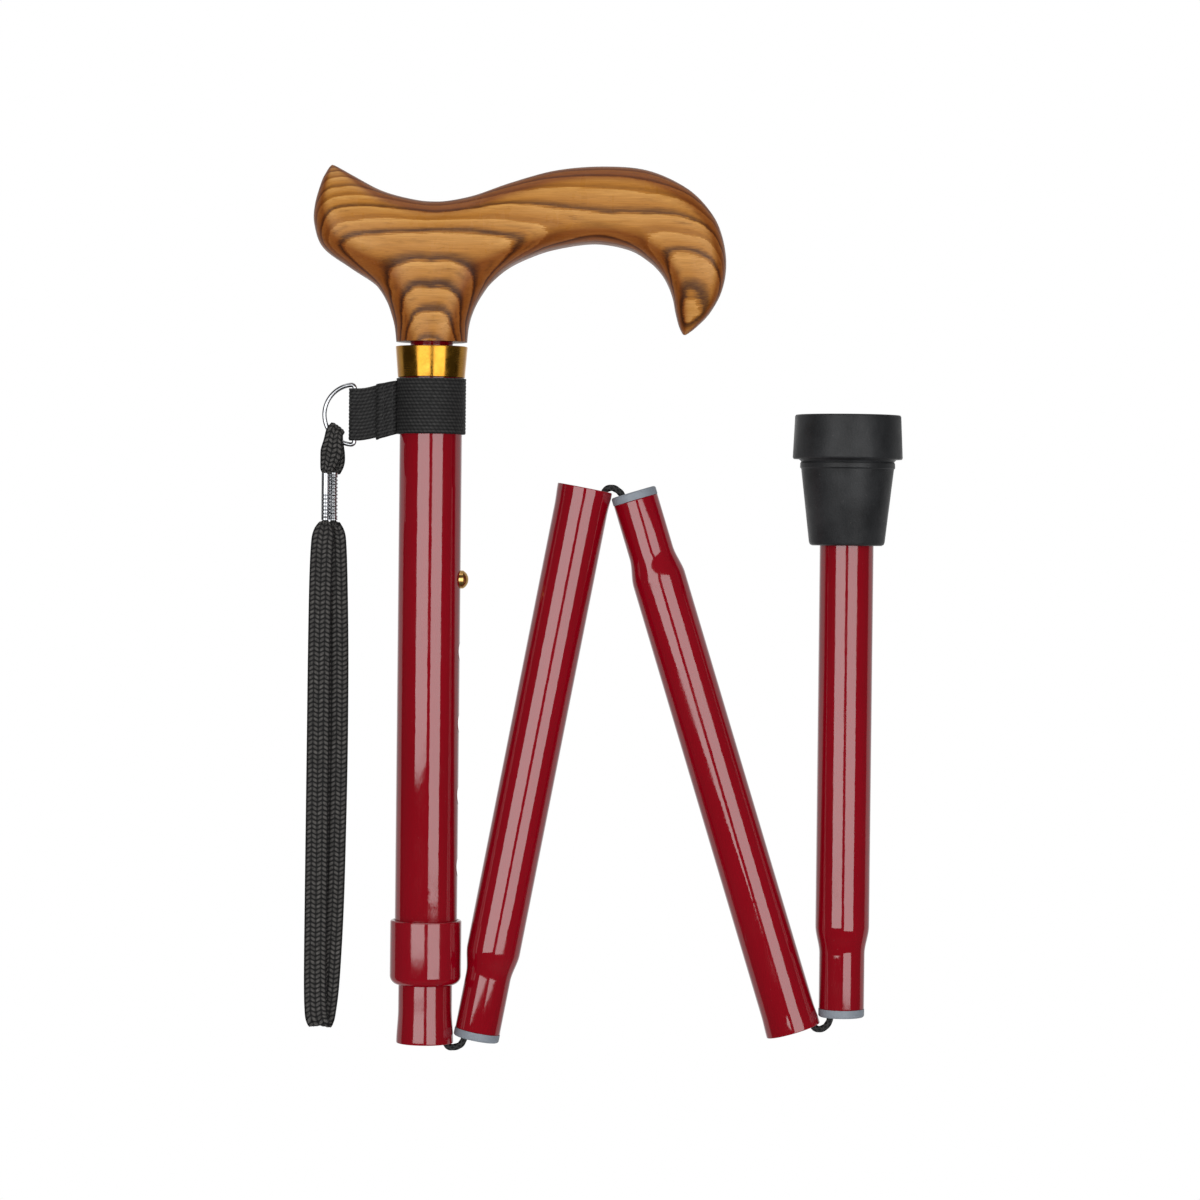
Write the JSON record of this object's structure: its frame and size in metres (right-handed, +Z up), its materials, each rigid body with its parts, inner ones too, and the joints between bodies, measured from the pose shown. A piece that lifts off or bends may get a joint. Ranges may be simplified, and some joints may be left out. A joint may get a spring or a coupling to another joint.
{
  "type": "folding walking cane",
  "caption": "Folding height-adjustable walking cane with a derby handle, telescoping button stops, cord-linked shaft sections, rubber ferrule and a wrist strap, shown half folded",
  "frame": {"origin": "on the upper tube's axis at the height of the palm, the low of the handle's saddle", "axes": "+Z up along the upright shaft, +X towards the handle's nose, +Y away from the viewer across the handle's thickness; the sections fold in the XZ plane"},
  "size_m": [0.2092, 0.0388, 0.3123],
  "materials": {
    "wood": "clear lacquer over striped light and dark laminated wood",
    "gold": "polished gold colour",
    "red_lacquer": "deep red gloss on aluminium tube",
    "black_plastic": "moulded",
    "grey_plastic": "moulded, silver grey",
    "brass": "drawn, satin",
    "spring_steel": "bright strip",
    "cord": "braided elastic cord",
    "rubber": "matte moulded rubber",
    "webbing": "ribbed polyester webbing",
    "chrome": "bright",
    "braid": "flat braided strap"
  },
  "bodies": {
    "shaft_top": {"handle": "wood", "handle_collar": "gold", "upper_tube": "red_lacquer"},
    "lock": {"lock_collar": "red_lacquer", "lock_bush": "black_plastic"},
    "slide": {"inner_tube": "red_lacquer", "button_spring": "spring_steel", "anchor_top": "black_plastic", "knot_top": "cord", "cord_run_1": "cord", "cord_bend_1": "cord"},
    "button": {"snap_button": "brass"},
    "second": {"second_tube": "red_lacquer", "end_ring_1": "grey_plastic", "cord_run_2": "cord"},
    "link_2": {"cord_bend_2": "cord"},
    "third": {"third_tube": "red_lacquer", "end_ring_2": "grey_plastic", "cord_run_3": "cord"},
    "link_3": {"cord_bend_3": "cord"},
    "tip": {"tip_tube": "red_lacquer", "end_ring_3": "grey_plastic", "cord_run_4": "cord", "anchor_tip": "black_plastic", "knot_tip": "cord", "ferrule": "rubber", "ferrule_washer": "spring_steel"},
    "band": {"strap_band": "webbing"},
    "ring": {"strap_ring": "chrome"},
    "strap": {"strap_crimp": "chrome", "wrist_strap": "braid"}
  },
  "joints": [
    {"name": "lock_turn", "type": "hinge", "parent": "shaft_top", "child": "lock", "pos_m": [0, 0, -0.2646], "axis": [0, 0, 1], "range_deg": [0, 180]},
    {"name": "height_adjust", "type": "slide", "parent": "shaft_top", "child": "slide", "axis": [0, 0, -1], "range_m": [0, 0.1016], "deforming": ["snap_button"]},
    {"name": "button_press", "type": "slide", "parent": "slide", "child": "button", "axis": [-1, 0, 0], "range_m": [0, 0.0043], "stiffness_N_per_m": 900, "springref_m": -0.002, "deforming": ["button_spring"]},
    {"name": "fold_1", "type": "hinge", "parent": "slide", "child": "second", "pos_m": [0.00889, 0, -0.296], "axis": [0, 1, 0], "range_deg": [0, 169.4], "deforming": ["cord_bend_1"]},
    {"name": "fold_2", "type": "hinge", "parent": "second", "child": "link_2", "pos_m": [0.06292, 0, -0.10208], "axis": [0, -1, 0], "range_deg": [0, 152.2], "deforming": ["cord_bend_2"]},
    {"name": "tuck_2", "type": "hinge", "parent": "link_2", "child": "third", "pos_m": [0.06393, 0, -0.104], "axis": [0, -1, 0], "range_deg": [-24, 0], "deforming": ["cord_bend_2"]},
    {"name": "fold_3", "type": "hinge", "parent": "third", "child": "link_3", "pos_m": [0.13845, 0, -0.28783], "axis": [0, 1, 0], "range_deg": [0, 162.8], "deforming": ["cord_bend_3"]},
    {"name": "tuck_3", "type": "hinge", "parent": "link_3", "child": "tip", "pos_m": [0.13893, 0, -0.28538], "axis": [0, 1, 0], "range_deg": [-13, 0], "deforming": ["cord_bend_3"]},
    {"name": "band_turn", "type": "hinge", "parent": "shaft_top", "child": "band", "pos_m": [0, 0, -0.0719], "axis": [0, 0, 1], "range_deg": [-120, 120]},
    {"name": "ring_turn", "type": "hinge", "parent": "band", "child": "ring", "pos_m": [-0.027, 0, -0.0751], "axis": [0, 0, 1], "range_deg": [-90, 90]},
    {"name": "strap_swing", "type": "hinge", "parent": "ring", "child": "strap", "pos_m": [-0.03449, 0, -0.0826], "axis": [0.7071, 0, -0.7071], "range_deg": [-45, 45]}
  ],
  "couplings": [
    {"joint": "fold_2", "follows": "fold_1", "ratio": 0.89847}
  ]
}
